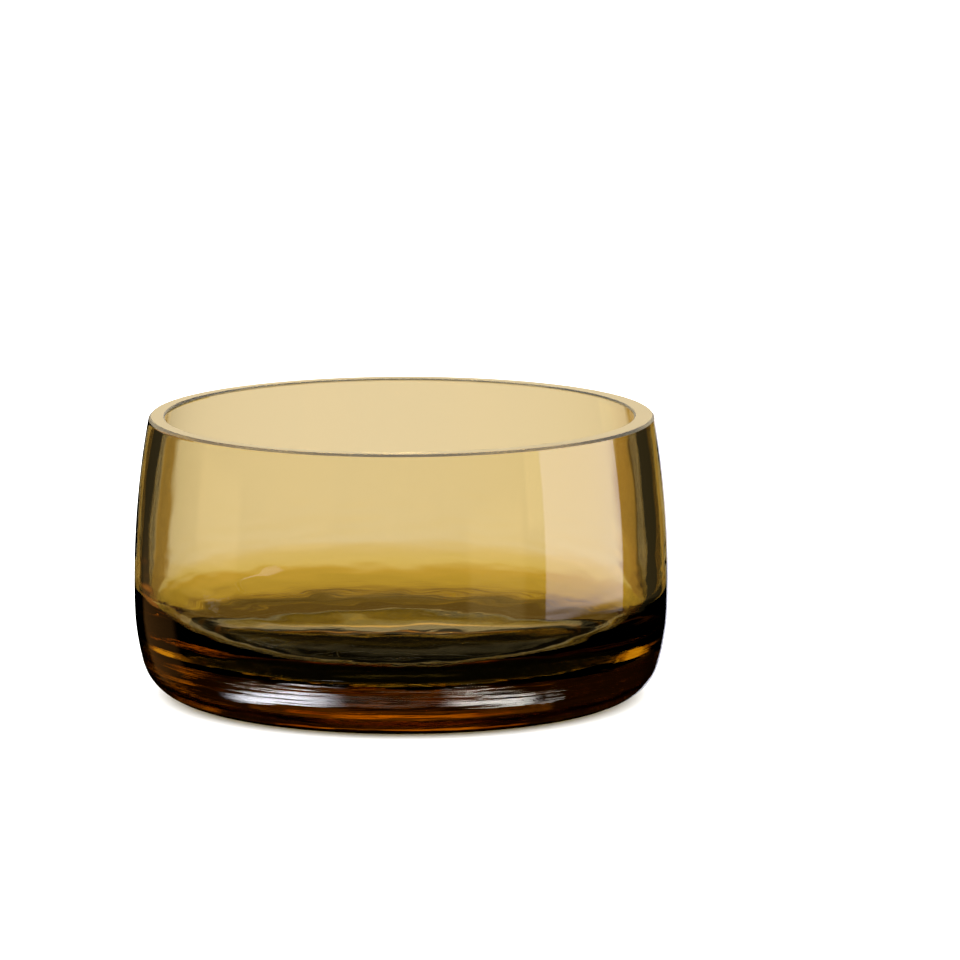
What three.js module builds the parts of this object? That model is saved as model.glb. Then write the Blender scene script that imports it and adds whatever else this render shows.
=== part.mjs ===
// Art glass bowl: one piece of amber glass, blown thick, with a heavy base and a flat ground rim.
// Millimetres, +Z up. The origin is on the bowl's axis, in the plane that it stands on.
import * as THREE from "three";

// Overall sizes
const height = 95; // foot to rim
const bodyRadius = 90; // outside, at the widest part of the belly

// Outside profile: three arcs, each tangent to the next. An arc ends where its outward normal
// reaches the angle given, in degrees above the horizontal.
const footCornerRadius = 16;
const footCornerEnd = -15;
const bellyRadius = 81;
const bellyEnd = -1.4;
const wallRadius = 315; // the wall leans inwards again towards the rim

// Glass thicknesses
const wallThickness = 6; // the same all the way up the wall
const baseThickness = 16; // under the middle of the inside floor

// Inside corner, between the floor and the wall
const insideCornerRadius = 22;

// Underside: a shallow hollow leaves a ring to stand on
const footRingWidth = 18;
const hollowDepth = 1.2;

// Rim: ground flat, with its two edges bevelled
const outerBevel = 0.8;
const innerBevel = 0.5;

// Facets
const turns = 96; // around the axis
const degreesPerStep = 9; // along a tight arc
const bellySteps = 2;
const wallSteps = 6; // up each side of the wall
const hollowSteps = 4;

const radians = THREE.MathUtils.degToRad;

// Points of an arc about centre, from one angle to another in radians, both ends included.
function arc(centre, radius, from, to, steps) {
  const points = [];
  for (let i = 0; i <= steps; i++) {
    const angle = from + ((to - from) * i) / steps;
    const x = centre.x + radius * Math.cos(angle);
    const y = centre.y + radius * Math.sin(angle);
    points.push(new THREE.Vector2(x, y));
  }
  return points;
}

// The centre of an arc of nextRadius that carries on smoothly where the last one ends.
function nextCentre(centre, radius, nextRadius, angle) {
  const shift = radius - nextRadius;
  return new THREE.Vector2(centre.x + shift * Math.cos(angle), centre.y + shift * Math.sin(angle));
}

const stepsFor = (from, to) => Math.ceil(THREE.MathUtils.radToDeg(Math.abs(to - from)) / degreesPerStep);

// The outside arcs, first with the foot corner's centre on the axis, then moved out so that the
// wall's widest point is at bodyRadius.
function outsideArcs() {
  const cornerTo = radians(footCornerEnd);
  const bellyTo = radians(bellyEnd);
  const corner = new THREE.Vector2(0, footCornerRadius);
  const belly = nextCentre(corner, footCornerRadius, bellyRadius, cornerTo);
  const wall = nextCentre(belly, bellyRadius, wallRadius, bellyTo);
  const outwards = bodyRadius - (wall.x + wallRadius);
  for (const centre of [corner, belly, wall]) centre.x += outwards;
  return { corner, belly, wall, cornerTo, bellyTo };
}

const outside = outsideArcs();
const footRadius = outside.corner.x;

// Foot ring to the start of the rim's outer bevel.
function outsideProfile() {
  const { corner, belly, wall, cornerTo, bellyTo } = outside;
  const wallTo = Math.asin((height - outerBevel - wall.y) / wallRadius);
  return [
    ...arc(corner, footCornerRadius, -Math.PI / 2, cornerTo, stepsFor(-Math.PI / 2, cornerTo)),
    ...arc(belly, bellyRadius, cornerTo, bellyTo, bellySteps).slice(1),
    ...arc(wall, wallRadius, bellyTo, wallTo, wallSteps).slice(1),
  ];
}

// Rim's inner bevel down to the middle of the floor. The wall's inner face shares the outer
// face's centre, and the corner is tangent to it and to the floor.
function insideProfile() {
  const { wall } = outside;
  const innerRadius = wallRadius - wallThickness;
  const cornerY = baseThickness + insideCornerRadius;
  const reach = innerRadius - insideCornerRadius;
  const rise = cornerY - wall.y;
  const corner = new THREE.Vector2(wall.x + Math.sqrt(reach ** 2 - rise ** 2), cornerY);
  const meet = Math.atan2(rise, corner.x - wall.x);
  const top = Math.asin((height - innerBevel - wall.y) / innerRadius);
  return [
    ...arc(wall, innerRadius, top, meet, wallSteps),
    ...arc(corner, insideCornerRadius, meet, -Math.PI / 2, stepsFor(meet, -Math.PI / 2)).slice(1),
    new THREE.Vector2(0, baseThickness),
  ];
}

// The hollow under the base, from the axis out to the foot ring.
function hollowProfile() {
  const hollowRadius = footRadius - footRingWidth;
  const sphereRadius = (hollowRadius ** 2 + hollowDepth ** 2) / (2 * hollowDepth);
  const centre = new THREE.Vector2(0, hollowDepth - sphereRadius);
  const edge = Math.acos(hollowRadius / sphereRadius);
  const points = arc(centre, sphereRadius, Math.PI / 2, edge, hollowSteps);
  points[0].x = 0;
  points[points.length - 1].y = 0;
  return points;
}

function bowlProfile() {
  const outer = outsideProfile();
  const inner = insideProfile();
  const outerTop = outer[outer.length - 1];
  const innerTop = inner[0];
  const rim = [
    new THREE.Vector2(outerTop.x - outerBevel, height),
    new THREE.Vector2(innerTop.x + innerBevel, height),
  ];
  return [...hollowProfile(), ...outer, ...rim, ...inner];
}

function amberGlass() {
  const glass = new THREE.MeshStandardMaterial({ color: 0xd9b56a, roughness: 0.03, metalness: 0 });
  glass.name = "amber_glass";
  return glass;
}

const bowl = new THREE.Mesh(new THREE.LatheGeometry(bowlProfile(), turns), amberGlass());
bowl.name = "bowl";
bowl.rotation.x = Math.PI / 2; // the lathe turns about Y

const artGlassBowl = new THREE.Group();
artGlassBowl.add(bowl);

export default artGlassBowl;
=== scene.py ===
import math

import bpy
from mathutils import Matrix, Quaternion, Vector


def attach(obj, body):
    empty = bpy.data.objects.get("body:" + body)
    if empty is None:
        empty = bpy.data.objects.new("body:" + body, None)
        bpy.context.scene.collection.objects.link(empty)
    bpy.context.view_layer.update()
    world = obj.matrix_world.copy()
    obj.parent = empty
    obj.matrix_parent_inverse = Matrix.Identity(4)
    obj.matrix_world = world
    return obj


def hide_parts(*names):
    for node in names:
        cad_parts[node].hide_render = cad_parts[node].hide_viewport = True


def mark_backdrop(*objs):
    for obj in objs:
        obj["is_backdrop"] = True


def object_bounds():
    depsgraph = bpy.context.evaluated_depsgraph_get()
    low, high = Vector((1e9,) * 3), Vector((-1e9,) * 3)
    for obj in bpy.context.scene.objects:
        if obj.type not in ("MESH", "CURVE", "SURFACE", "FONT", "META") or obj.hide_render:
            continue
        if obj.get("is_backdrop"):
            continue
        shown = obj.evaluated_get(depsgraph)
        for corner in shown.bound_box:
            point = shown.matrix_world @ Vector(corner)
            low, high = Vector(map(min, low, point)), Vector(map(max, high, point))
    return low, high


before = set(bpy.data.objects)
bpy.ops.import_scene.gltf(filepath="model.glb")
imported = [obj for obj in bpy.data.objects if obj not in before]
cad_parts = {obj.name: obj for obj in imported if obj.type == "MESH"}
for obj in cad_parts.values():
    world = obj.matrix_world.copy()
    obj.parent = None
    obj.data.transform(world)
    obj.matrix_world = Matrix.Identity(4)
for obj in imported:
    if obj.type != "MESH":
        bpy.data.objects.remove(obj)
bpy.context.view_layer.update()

mm = 0.001


def linearColour(code):
    # sRGB hex to the linear colour that the shaders work in
    values = [int(code[i:i + 2], 16) / 255 for i in (0, 2, 4)]
    return (*[v / 12.92 if v <= 0.04045 else ((v + 0.055) / 1.055) ** 2.4 for v in values], 1)


def addNode(tree, kind, settings=None, links=None):
    # settings go to the node's properties or its inputs, links feed its inputs from other nodes' outputs
    node = tree.nodes.new(kind)
    for name, value in (settings or {}).items():
        if isinstance(name, str) and hasattr(node, name):
            setattr(node, name, value)
        else:
            node.inputs[name].default_value = value
    for name, output in (links or {}).items():
        tree.links.new(output, node.inputs[name])
    return node


# The bowl: one gather of amber glass, blown with a heavy base, its rim cut flat and its two edges
# bevelled. Sizes in mm, the same as the solid's.
bowlShape = {
    "height": 95.0,
    "bodyRadius": 90.0,
    "footCornerRadius": 16.0,
    "footCornerEnd": -15.0,  # degrees of the outward normal above the horizontal, where an arc ends
    "bellyRadius": 81.0,
    "bellyEnd": -1.4,
    "wallRadius": 315.0,
    "wallThickness": 6.0,
    "baseThickness": 16.0,
    "insideCornerRadius": 22.0,
    "footRingWidth": 18.0,
    "hollowDepth": 1.2,
    "outerBevel": 0.8,
    "innerBevel": 0.5,
    "turns": 320,
    "step": 1.0,  # between the profile's points, along a wall
    "fineStep": 0.7,  # and round a corner
    "hollowStep": 6,  # and across the hollow underneath
    "ringPieces": 3,  # across the foot ring
    "floorPieces": 16,  # from the inside corner to the middle of the floor
}

# What the hand and the mould left in it, in mm. A wave has its depth and how long its swells are
# in X, Y and Z. Chill marks are where the hot glass met the cooler mould, low in the bowl: they are
# full below the first height of their range and have faded out at the second.
handWork = {
    "offCentre": -0.7,  # the breath pushed the inside a little to one side
    "rimTilt": 0.26,  # degrees: the cut isn't quite level
    "slowSwell": (0.2, (45, 45, 60)),
    "wavyWall": (0.1, (14, 14, 22)),
    "chillMarks": (0.3, (16, 16, 3.2)),
    "outerChill": (0.16, (24, 24, 3)),
    "insideRange": (20, 62),
    "outsideRange": (10, 50),
    "footKeptFlat": 2,  # nothing below this height is moved by the chill marks
    "edgeSoftness": 0.12,  # polishing rounds the edges of the bevels
    "edgeAngle": 30,  # degrees, past which an edge is an edge and not part of a curve
}


def carryRound(centre, turn, radius, step):
    # spins the last vertex about a centre in the XZ plane, anticlockwise when turn is positive
    steps = max(2, round(math.radians(abs(turn)) * radius / (step * mm)))
    middle = (centre[0], 0, centre[1])
    bpy.ops.mesh.spin(steps=steps, angle=math.radians(turn), center=middle, axis=(0, 1, 0))


def carryAlong(start, end, pieces=1):
    stride = ((end[0] - start[0]) / pieces, 0, (end[1] - start[1]) / pieces)
    for _ in range(pieces):
        bpy.ops.mesh.extrude_region_move(TRANSFORM_OT_translate={"value": stride})


def pointing(angle):
    return Vector((math.cos(angle), math.sin(angle)))


def drawProfile(bowl, s):
    # the half section, from the middle of the hollow under the base, up the outside, over the rim and
    # down the inside to the middle of the floor
    k = {name: value * mm for name, value in s.items()}
    cornerEnd = math.radians(s["footCornerEnd"])
    bellyEnd = math.radians(s["bellyEnd"])
    corner = Vector((0, k["footCornerRadius"]))
    belly = corner + (k["footCornerRadius"] - k["bellyRadius"]) * pointing(cornerEnd)
    wall = belly + (k["bellyRadius"] - k["wallRadius"]) * pointing(bellyEnd)
    outwards = k["bodyRadius"] - (wall.x + k["wallRadius"])
    for centre in (corner, belly, wall):
        centre.x += outwards
    outerEnd = math.asin((k["height"] - k["outerBevel"] - wall.y) / k["wallRadius"])
    outerTop = wall + k["wallRadius"] * pointing(outerEnd)

    innerRadius = k["wallRadius"] - k["wallThickness"]
    innerEnd = math.asin((k["height"] - k["innerBevel"] - wall.y) / innerRadius)
    innerTop = wall + innerRadius * pointing(innerEnd)
    rise = k["baseThickness"] + k["insideCornerRadius"] - wall.y
    reach = math.sqrt((innerRadius - k["insideCornerRadius"]) ** 2 - rise ** 2)
    insideCorner = Vector((wall.x + reach, wall.y + rise))
    meet = math.atan2(rise, reach)

    hollowRadius = corner.x - k["footRingWidth"]
    hollowSphere = (hollowRadius ** 2 + k["hollowDepth"] ** 2) / (2 * k["hollowDepth"])
    rimOut = Vector((outerTop.x - k["outerBevel"], k["height"]))
    rimIn = Vector((innerTop.x + k["innerBevel"], k["height"]))

    bpy.ops.transform.translate(value=(0, 0, k["hollowDepth"]))
    hollowTurn = math.degrees(math.asin(hollowRadius / hollowSphere))
    carryRound((0, k["hollowDepth"] - hollowSphere), -hollowTurn, hollowSphere, s["hollowStep"])
    carryAlong((hollowRadius, 0), (corner.x, 0), s["ringPieces"])
    carryRound(corner, 90 + s["footCornerEnd"], k["footCornerRadius"], s["fineStep"])
    carryRound(belly, s["bellyEnd"] - s["footCornerEnd"], k["bellyRadius"], s["fineStep"])
    carryRound(wall, math.degrees(outerEnd) - s["bellyEnd"], k["wallRadius"], s["step"])
    carryAlong(outerTop, rimOut)
    bpy.ops.object.vertex_group_add()
    bowl.vertex_groups.active.name = "inside"
    carryAlong(rimOut, rimIn)
    bpy.ops.object.vertex_group_assign()  # what is made from here on stays in the group
    carryAlong(rimIn, innerTop)
    carryRound(wall, math.degrees(meet - innerEnd), innerRadius, s["step"])
    carryRound(insideCorner, -90 - math.degrees(meet), k["insideCornerRadius"], s["fineStep"])
    carryAlong((insideCorner.x, 0), (0, 0), s["floorPieces"])


def blowBowl(s, h):
    bpy.ops.object.select_all(action="DESELECT")
    bpy.ops.mesh.primitive_plane_add(size=mm)
    bowl = bpy.context.object
    bowl.name = "blown_bowl"
    bpy.ops.object.mode_set(mode="EDIT")
    bpy.ops.mesh.select_all(action="SELECT")
    bpy.ops.mesh.merge(type="CENTER")
    drawProfile(bowl, s)
    bpy.ops.mesh.select_all(action="SELECT")
    bpy.ops.mesh.spin(steps=s["turns"], angle=2 * math.pi, center=(0, 0, 0), axis=(0, 0, 1))
    bpy.ops.mesh.select_all(action="SELECT")
    bpy.ops.mesh.remove_doubles(threshold=0.004 * mm)
    bpy.ops.mesh.normals_make_consistent(inside=False)
    bpy.ops.mesh.select_all(action="DESELECT")
    bpy.ops.object.vertex_group_select()
    bpy.ops.transform.translate(value=(h["offCentre"] * mm, 0, 0))
    bpy.ops.mesh.select_all(action="DESELECT")
    bpy.ops.object.mode_set(mode="OBJECT")
    for v in bowl.data.vertices:
        v.select = v.co.z > (s["height"] - s["outerBevel"]) * mm - 1e-6
    bpy.ops.object.mode_set(mode="EDIT")
    bpy.ops.transform.rotate(value=math.radians(h["rimTilt"]), orient_axis="Y",
                             center_override=(0, 0, s["height"] * mm))
    bpy.ops.object.mode_set(mode="OBJECT")
    return bowl


def ripple(piece, name, group, wave, detail=1):
    # hand-blown glass is never quite true
    depth, size = wave
    texture = bpy.data.textures.new(name, "CLOUDS")
    texture.noise_scale = 1
    texture.noise_depth = detail
    texture.noise_basis = "ORIGINAL_PERLIN"
    bpy.ops.object.empty_add()
    swell = bpy.context.object
    swell.scale = [v * mm for v in size]
    bpy.ops.object.select_all(action="DESELECT")
    piece.select_set(True)
    bpy.context.view_layer.objects.active = piece
    push = piece.modifiers.new(name, "DISPLACE")
    push.texture = texture
    push.texture_coords = "OBJECT"
    push.texture_coords_object = swell
    push.strength = depth * mm
    push.mid_level = 0.5
    push.vertex_group = group
    bpy.context.view_layer.update()
    bpy.ops.object.modifier_apply(modifier=push.name)
    bpy.data.objects.remove(swell)


def weighByHeight(piece, name, fromGroup, heights, lowest):
    # a group that is full at the lower height and fades to nothing at the upper one
    low, high = heights
    group = piece.vertex_groups.new(name=name)
    source = piece.vertex_groups[fromGroup].index if fromGroup else None
    for v in piece.data.vertices:
        inSource = source is None or any(g.group == source for g in v.groups)
        share = (high * mm - v.co.z) / ((high - low) * mm)
        if inSource and share > 0 and v.co.z > lowest * mm:
            group.add([v.index], min(share, 1), "REPLACE")


def finishByHand(bowl, h):
    weighByHeight(bowl, "lowInside", "inside", h["insideRange"], h["footKeptFlat"])
    weighByHeight(bowl, "lowOutside", None, h["outsideRange"], h["footKeptFlat"])
    ripple(bowl, "slow_swell", "inside", h["slowSwell"])
    ripple(bowl, "wavy_wall", "inside", h["wavyWall"])
    ripple(bowl, "chill_marks", "lowInside", h["chillMarks"], detail=2)
    ripple(bowl, "outer_chill", "lowOutside", h["outerChill"])
    bowl.vertex_groups.clear()
    softened = bowl.modifiers.new("polished_edges", "BEVEL")
    softened.width = h["edgeSoftness"] * mm
    softened.segments = 2
    softened.limit_method = "ANGLE"
    softened.angle_limit = math.radians(h["edgeAngle"])
    softened.harden_normals = True
    bpy.ops.object.shade_smooth_by_angle(angle=math.radians(h["edgeAngle"]))
    bpy.ops.object.modifier_apply(modifier=softened.name)


# Amber soda-lime glass, and the marks that the making leaves on its surface
amberGlass = {
    "index": 1.5,
    "takesPerMetre": (3.37, 11.2, 47.9),  # red, green and blue that a metre of it absorbs, as exponents
    "lineSpacing": 0.9,  # mm, of the fine level lines that the mould leaves above the foot
    "lineLength": 40.0,
    "lineDepth": 0.07,
    "linesFrom": 28.0,  # mm above the table, where they have faded out
    "linesTo": 18.0,
    "bevelGrain": 0.35,  # roughness that the grinding leaves on the rim's bevels
    "bevelFrom": 94.1,  # mm, measured square to the rim's cut
    "bevelTo": 94.95,
    "rimTilt": handWork["rimTilt"],
}


def makeAmberGlass(s):
    # mouth-blown soda-lime glass, fire-polished: clear and mirror-smooth, honey in the thin wall and
    # nearly black through the length of the base, with fine level lines above the foot and a satin
    # line where the rim's bevels were ground
    material = bpy.data.materials.new("mouth_blown_amber_glass")
    material.use_nodes = True
    tree = material.node_tree
    shader = tree.nodes["Principled BSDF"]
    shader.inputs["Base Color"].default_value = (1, 1, 1, 1)
    shader.inputs["Roughness"].default_value = 0
    shader.inputs["IOR"].default_value = s["index"]
    shader.inputs["Transmission Weight"].default_value = 1
    most = max(s["takesPerMetre"])
    kept = (*[1 - taken / most for taken in s["takesPerMetre"]], 1)
    depth = addNode(tree, "ShaderNodeVolumeAbsorption", {"Color": kept, "Density": most})
    tree.links.new(depth.outputs["Volume"], tree.nodes["Material Output"].inputs["Volume"])
    place = addNode(tree, "ShaderNodeTexCoord")

    # level lines, a bump that fades out upwards
    around, across = 1 / (s["lineLength"] * mm), 1 / (s["lineSpacing"] * mm)
    stretched = addNode(tree, "ShaderNodeMapping", {"Scale": (around, around, across)},
                        {"Vector": place.outputs["Object"]})
    lines = addNode(tree, "ShaderNodeTexNoise", {"Scale": 1, "Detail": 2},
                    {"Vector": stretched.outputs["Vector"]})
    height = addNode(tree, "ShaderNodeSeparateXYZ", None, {"Vector": place.outputs["Object"]})
    fadeOut = {"From Min": s["linesFrom"] * mm, "From Max": s["linesTo"] * mm}
    nearFoot = addNode(tree, "ShaderNodeMapRange", fadeOut, {"Value": height.outputs["Z"]})
    raised = addNode(tree, "ShaderNodeBump", {"Distance": s["lineDepth"] * mm},
                     {"Height": lines.outputs["Fac"], "Strength": nearFoot.outputs["Result"]})
    tree.links.new(raised.outputs["Normal"], shader.inputs["Normal"])

    # satin bevels, between two heights square to the rim's cut
    tilt = math.radians(s["rimTilt"])
    squareToCut = (-math.sin(tilt), 0, math.cos(tilt))
    upToCut = addNode(tree, "ShaderNodeVectorMath", {"operation": "DOT_PRODUCT", 1: squareToCut},
                      {0: place.outputs["Object"]})
    aboveStart = addNode(tree, "ShaderNodeMath", {"operation": "GREATER_THAN", 1: s["bevelFrom"] * mm},
                         {0: upToCut.outputs["Value"]})
    belowEnd = addNode(tree, "ShaderNodeMath", {"operation": "LESS_THAN", 1: s["bevelTo"] * mm},
                       {0: upToCut.outputs["Value"]})
    onBevel = addNode(tree, "ShaderNodeMath", {"operation": "MULTIPLY"},
                      {0: aboveStart.outputs[0], 1: belowEnd.outputs[0]})
    grain = addNode(tree, "ShaderNodeMath", {"operation": "MULTIPLY", 1: s["bevelGrain"]},
                    {0: onBevel.outputs[0]})
    tree.links.new(grain.outputs[0], shader.inputs["Roughness"])
    return material


bowl = blowBowl(bowlShape, handWork)
finishByHand(bowl, handWork)
bowl.data.materials.append(makeAmberGlass(amberGlass))
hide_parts("bowl")
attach(bowl, "root")
print("bowl:", len(bowl.data.polygons), "faces")

# The table top is pale. Under the foot is a dark disc of painted shade, and around it a glowing disc of
# painted brown shadow that stands for the bowl's own shadow; both show only through the glass.
table = {
    "size": 40.0,
    "white": "E8E8E8",
    # painted shade: the near-black of the disc under the foot, where the bowl shades the table
    "footShade": "020201",
    "footShadeRadius": 83.0,  # mm
    "footShadeDepth": 0.05,  # just under the table top
    # painted shadow: the brown that the disc round the foot glows with, standing for the bowl's shadow on the
    # table
    "shadow": "695530",
    "shadowRadius": 98.0,
    "shadowDepth": 0.1,
}


def mattPaint(name, code, glow=None):
    # matt paint: no shine at all
    paint = bpy.data.materials.new(name)
    paint.use_nodes = True
    shader = paint.node_tree.nodes["Principled BSDF"]
    shader.inputs["Base Color"].default_value = linearColour(code)
    shader.inputs["Roughness"].default_value = 1
    shader.inputs["Specular IOR Level"].default_value = 0
    # the glow is painted light: it is used for the painted brown shadow, which shines though it is no lamp
    if glow:
        shader.inputs["Emission Color"].default_value = linearColour(glow)
        shader.inputs["Emission Strength"].default_value = 1
    return paint


def layDisc(name, radius, depth, paint):
    bpy.ops.mesh.primitive_circle_add(vertices=96, radius=radius * mm, fill_type="NGON",
                                      location=(0, 0, -depth * mm))
    disc = bpy.context.object
    disc.name = name
    disc.data.materials.append(paint)
    disc.visible_camera = False
    disc.visible_diffuse = False
    disc.visible_glossy = False
    return disc


def layTable(t):
    bpy.ops.object.select_all(action="DESELECT")
    bpy.ops.mesh.primitive_plane_add(size=t["size"])
    floor = bpy.context.object
    floor.name = "floor"
    floor.data.materials.append(mattPaint("matt_white_paint", t["white"]))
    floor.visible_glossy = False
    floor.visible_transmission = False
    # painted shade under the foot and a painted brown shadow that glows, both seen only through the glass
    footShadePaint = mattPaint("painted_foot_shade", t["footShade"])
    shade = mattPaint("brown_shade", "000000", t["shadow"])
    footShade = layDisc("painted_shade_under_foot", t["footShadeRadius"], t["footShadeDepth"], footShadePaint)
    shadow = layDisc("brown_shadow", t["shadowRadius"], t["shadowDepth"], shade)
    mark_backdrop(floor, footShade, shadow)


layTable(table)
print("table")

# The light. Azimuths are in degrees from the camera's side, positive to the right; elevations are
# above the horizon. "seen" boards are what stands behind the glass and shows through it, "mirrored"
# ones are the soft boxes that its surfaces reflect. Each board covers those before it. Its edges fade
# over soft degrees to either side, and its left and right ends over softEnds where that is given.
studio = {
    "roomLight": 3.6,
    "seenRoom": ("F0DDBB", 0.012),
    "seen": [
        {"azimuth": 180, "half": 60, "low": -14, "high": 3, "soft": 2, "colour": "F0DDBB", "level": 0.04},
        {"azimuth": 150, "half": 45, "low": 21.5, "high": 26, "soft": 2, "colour": "FFF0D0", "level": 0.2},
        {"azimuth": 0, "half": 180, "low": 70, "high": 90, "soft": 4, "colour": "FFF8E0", "level": 0.6},
        {"azimuth": 114, "half": 22, "low": 13.5, "high": 40, "soft": 1.5, "colour": "FFE0B0", "level": 0.5},
        {"azimuth": -150, "half": 12, "low": -26, "high": -12, "soft": 2, "colour": "9A6430", "level": 1.0},
        {"azimuth": 180, "half": 25, "low": 3, "high": 9.7, "soft": 1, "colour": "FFF4D8", "level": 0.14},
        {"azimuth": 180, "half": 17.5, "low": -30, "high": 3, "soft": 1.2, "colour": "B59048", "level": 1.0},
        {"azimuth": 180, "half": 10.5, "low": -50, "high": 3, "soft": 1.2, "colour": "table", "level": 1.0},
        {"azimuth": -135, "half": 10, "low": -50, "high": -17, "soft": 2, "colour": "table", "level": 1.0},
        {"azimuth": -90, "half": 13, "low": -6, "high": 3, "soft": 2, "colour": "table", "level": 1.0},
        {"azimuth": 45, "half": 13, "low": -40, "high": 3, "soft": 2, "colour": "table", "level": 1.0},
    ],
    "mirroredRoom": ("FFFFFF", 0.0),
    "mirrored": [
        {"azimuth": 0, "half": 180, "low": 2, "high": 90, "soft": 3, "colour": "FFE8C0", "level": 0.3},
        {"azimuth": 180, "half": 45, "low": 4, "high": 20, "soft": 2, "colour": "FFE8B8", "level": 1.7},
        {"azimuth": 180, "half": 65, "low": 50, "high": 80, "soft": 5, "colour": "FFDC98", "level": 13.0},
        {"azimuth": 60.5, "half": 4, "low": 0, "high": 35, "soft": 1, "colour": "FFE9A8", "level": 1.2},
        {"azimuth": 87.5, "half": 23, "low": -9.9, "high": 35, "soft": 0.6, "colour": "F2ECFF", "level": 3.0},
        {"azimuth": -6, "half": 27, "low": -42, "high": -38, "soft": 1, "colour": "FFF0D8", "level": 0.8},
        {"azimuth": -64, "half": 24, "low": -43, "high": -33.5, "soft": 1.5, "softEnds": 15,
         "colour": "F4F6FF", "level": 22.0},
        {"azimuth": 47.5, "half": 20.5, "low": -43, "high": -36, "soft": 1.5, "softEnds": 10,
         "colour": "F8F4EC", "level": 17.0},
        {"azimuth": 82, "half": 6, "low": -45, "high": -34, "soft": 1, "colour": "F8F4EC", "level": 3.0},
        {"azimuth": -132, "half": 16, "low": -24, "high": -9, "soft": 3, "colour": "C88A48", "level": 0.3},
        {"azimuth": 170, "half": 3.5, "low": -18, "high": 4, "soft": 0.8, "colour": "F0F0FF", "level": 1.1},
        {"azimuth": -135, "half": 6, "low": 22, "high": 28, "soft": 1.5, "colour": "FFE8B8", "level": 1.7},
        {"azimuth": 45, "half": 6, "low": 12, "high": 18, "soft": 1.5, "colour": "FFE8B8", "level": 0.9},
    ],
}

# The table as the glass shows it: pale far off, deeper amber towards the bowl, which throws its own
# coloured shadow there
tableTones = [(-48, "181208"), (-42, "302410"), (-34, "766134"), (-32, "9A7C38"), (-28, "BE9E42"),
              (-25, "C4A445"), (-21.5, "D1AC4B"), (-18.8, "E6CB81"), (-15, "E9CE8E"), (-12, "EDD5A4"),
              (-9.5, "F0DDBB")]


def scaled(code, level):
    red, green, blue, alpha = linearColour(code)
    return (red * level, green * level, blue * level, alpha)


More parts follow.
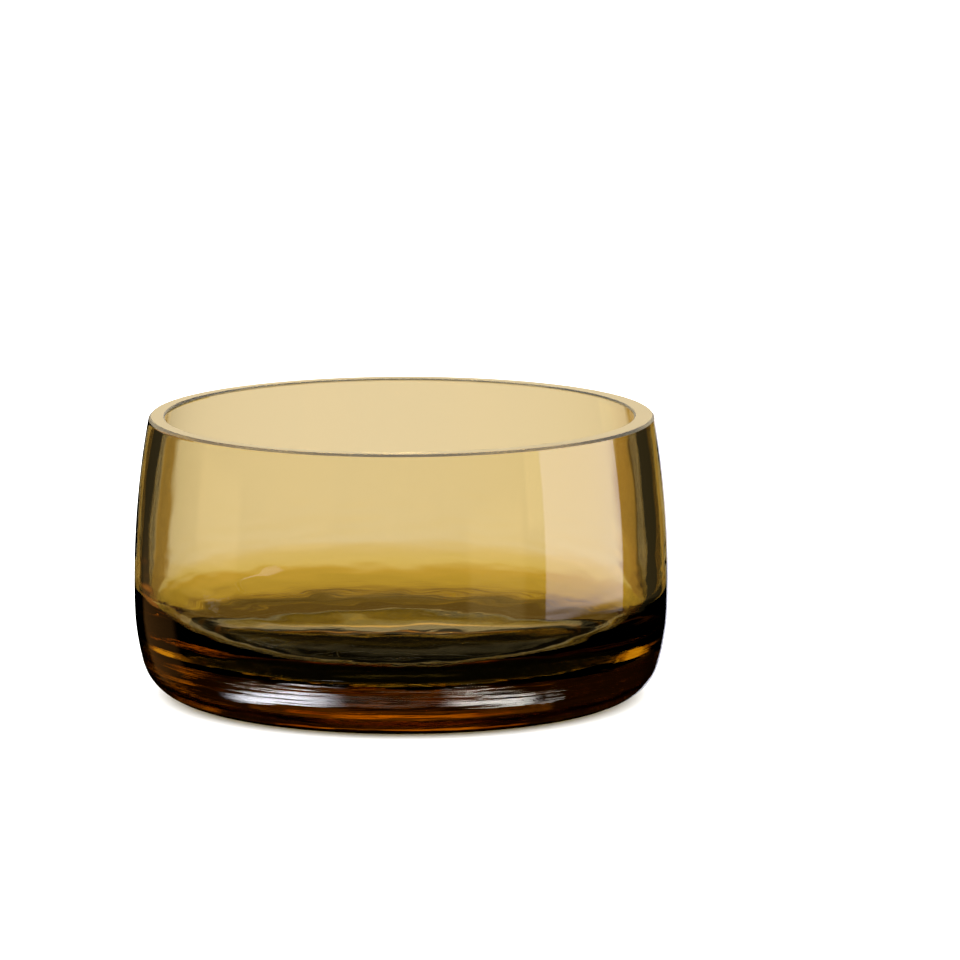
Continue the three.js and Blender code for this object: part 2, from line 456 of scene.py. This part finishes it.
def buildLight(s, tones):
    world = bpy.data.worlds.new("studio")
    bpy.context.scene.world = world
    world.use_nodes = True
    tree = world.node_tree

    def maths(operation, *values):
        node = addNode(tree, "ShaderNodeMath", {"operation": operation})
        for i, value in enumerate(values):
            if isinstance(value, (int, float)):
                node.inputs[i].default_value = value
            else:
                tree.links.new(value, node.inputs[i])
        return node.outputs[0]

    def fade(value, nothingAt, fullAt):
        ends = {"interpolation_type": "SMOOTHSTEP", "From Min": nothingAt, "From Max": fullAt}
        return addNode(tree, "ShaderNodeMapRange", ends, {"Value": value}).outputs["Result"]

    def layer(under, over, share):
        node = addNode(tree, "ShaderNodeMix", {"data_type": "RGBA"})
        # inputs 6 and 7 are the node's two colours
        for socket, value in ((node.inputs[0], share), (node.inputs[6], under), (node.inputs[7], over)):
            if isinstance(value, tuple):
                socket.default_value = value
            else:
                tree.links.new(value, socket)
        return node.outputs[2]

    ray = addNode(tree, "ShaderNodeLightPath")
    way = addNode(tree, "ShaderNodeTexCoord")
    xyz = addNode(tree, "ShaderNodeSeparateXYZ", None, {"Vector": way.outputs["Generated"]})
    elevation = maths("DEGREES", maths("ARCSINE", xyz.outputs["Z"]))
    azimuth = maths("DEGREES", maths("ARCTAN2", xyz.outputs["X"], maths("MULTIPLY", xyz.outputs["Y"], -1)))

    # the ramp runs from the lowest tone to the highest; its own two stops are those tones
    lowest, highest = tones[0][0], tones[-1][0]
    along = maths("DIVIDE", maths("SUBTRACT", elevation, lowest), highest - lowest)
    tableRamp = addNode(tree, "ShaderNodeValToRGB", None, {"Fac": along})
    stops = tableRamp.color_ramp.elements
    for degrees, code in tones[1:-1]:
        stops.new((degrees - lowest) / (highest - lowest)).color = linearColour(code)
    stops[0].color = linearColour(tones[0][1])
    stops[-1].color = linearColour(tones[-1][1])

    def boards(room, several):
        total = scaled(*room)
        for p in several:
            off = maths("ABSOLUTE", maths("WRAP", maths("SUBTRACT", azimuth, p["azimuth"]), 180, -180))
            softEnds = p.get("softEnds", p["soft"])
            across = fade(off, p["half"] + softEnds, p["half"] - softEnds)
            above = fade(elevation, p["low"] - p["soft"], p["low"] + p["soft"])
            below = fade(elevation, p["high"] + p["soft"], p["high"] - p["soft"])
            share = maths("MULTIPLY", across, maths("MULTIPLY", above, below))
            if p["colour"] == "table":
                total = layer(total, tableRamp.outputs["Color"], share)
            else:
                total = layer(total, scaled(p["colour"], p["level"]), share)
        return total

    isSeen = ray.outputs["Is Transmission Ray"]
    isMirrored = maths("MULTIPLY", ray.outputs["Is Glossy Ray"], maths("SUBTRACT", 1, isSeen))
    roomLight = (s["roomLight"], s["roomLight"], s["roomLight"], 1)
    lit = layer(roomLight, boards(s["mirroredRoom"], s["mirrored"]), isMirrored)
    lit = layer(lit, boards(s["seenRoom"], s["seen"]), isSeen)
    tree.links.new(lit, tree.nodes["Background"].inputs["Color"])


buildLight(studio, tableTones)
print("light")

# The camera: a long lens, well back, looking a little down
view = {
    "distance": 2.657,
    "elevation": 9.96,
    "lens": 295.5,
    "aimRight": 0.571,  # degrees from the bowl's middle
    "aimUp": 0.530,
    "roll": 0.186,
}


def setCamera(v):
    lens = bpy.data.cameras.new("long_lens")
    lens.lens = v["lens"]
    lens.clip_end = 100
    camera = bpy.data.objects.new("camera", lens)
    bpy.context.scene.collection.objects.link(camera)
    low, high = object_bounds()
    tilt = math.radians(v["elevation"])
    back = Vector((0, -math.cos(tilt), math.sin(tilt)))
    camera.location = (low + high) / 2 + back * v["distance"]
    across = Vector((1, 0, 0))
    up = across.cross(-back)
    aim = -back + across * math.tan(math.radians(v["aimRight"])) + up * math.tan(math.radians(v["aimUp"]))
    roll = Quaternion((0, 0, 1), math.radians(v["roll"]))
    camera.rotation_mode = "QUATERNION"
    camera.rotation_quaternion = aim.to_track_quat("-Z", "Y") @ roll
    bpy.context.scene.camera = camera
    bpy.context.scene.view_settings.view_transform = "Standard"


setCamera(view)
print("camera")
